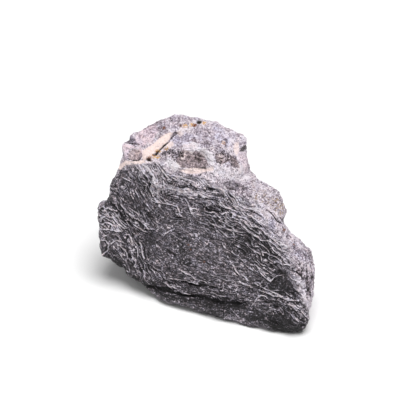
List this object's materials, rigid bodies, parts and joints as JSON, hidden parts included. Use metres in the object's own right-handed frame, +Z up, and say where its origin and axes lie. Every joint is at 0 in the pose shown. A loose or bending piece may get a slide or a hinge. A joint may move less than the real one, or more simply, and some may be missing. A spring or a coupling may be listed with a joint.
{
  "type": "galena specimen",
  "caption": "Rough hand specimen of sheared dark galena under a pale gangue cap, resting on its broken underside.",
  "frame": {"origin": "middle of the bounding box's base, on the ground that the specimen rests on", "axes": "+Z up; +X to the right along the dark display face's side, the longest extent; +Y to the back, so the display side faces -Y and up"},
  "size_m": [0.1052, 0.0852, 0.0758],
  "materials": {
    "stone": "rough broken stone: dull to softly metallic dark grey galena, pale lavender-grey gangue on top"
  },
  "bodies": {
    "root": {"galena_specimen": "stone"}
  },
  "joints": []
}
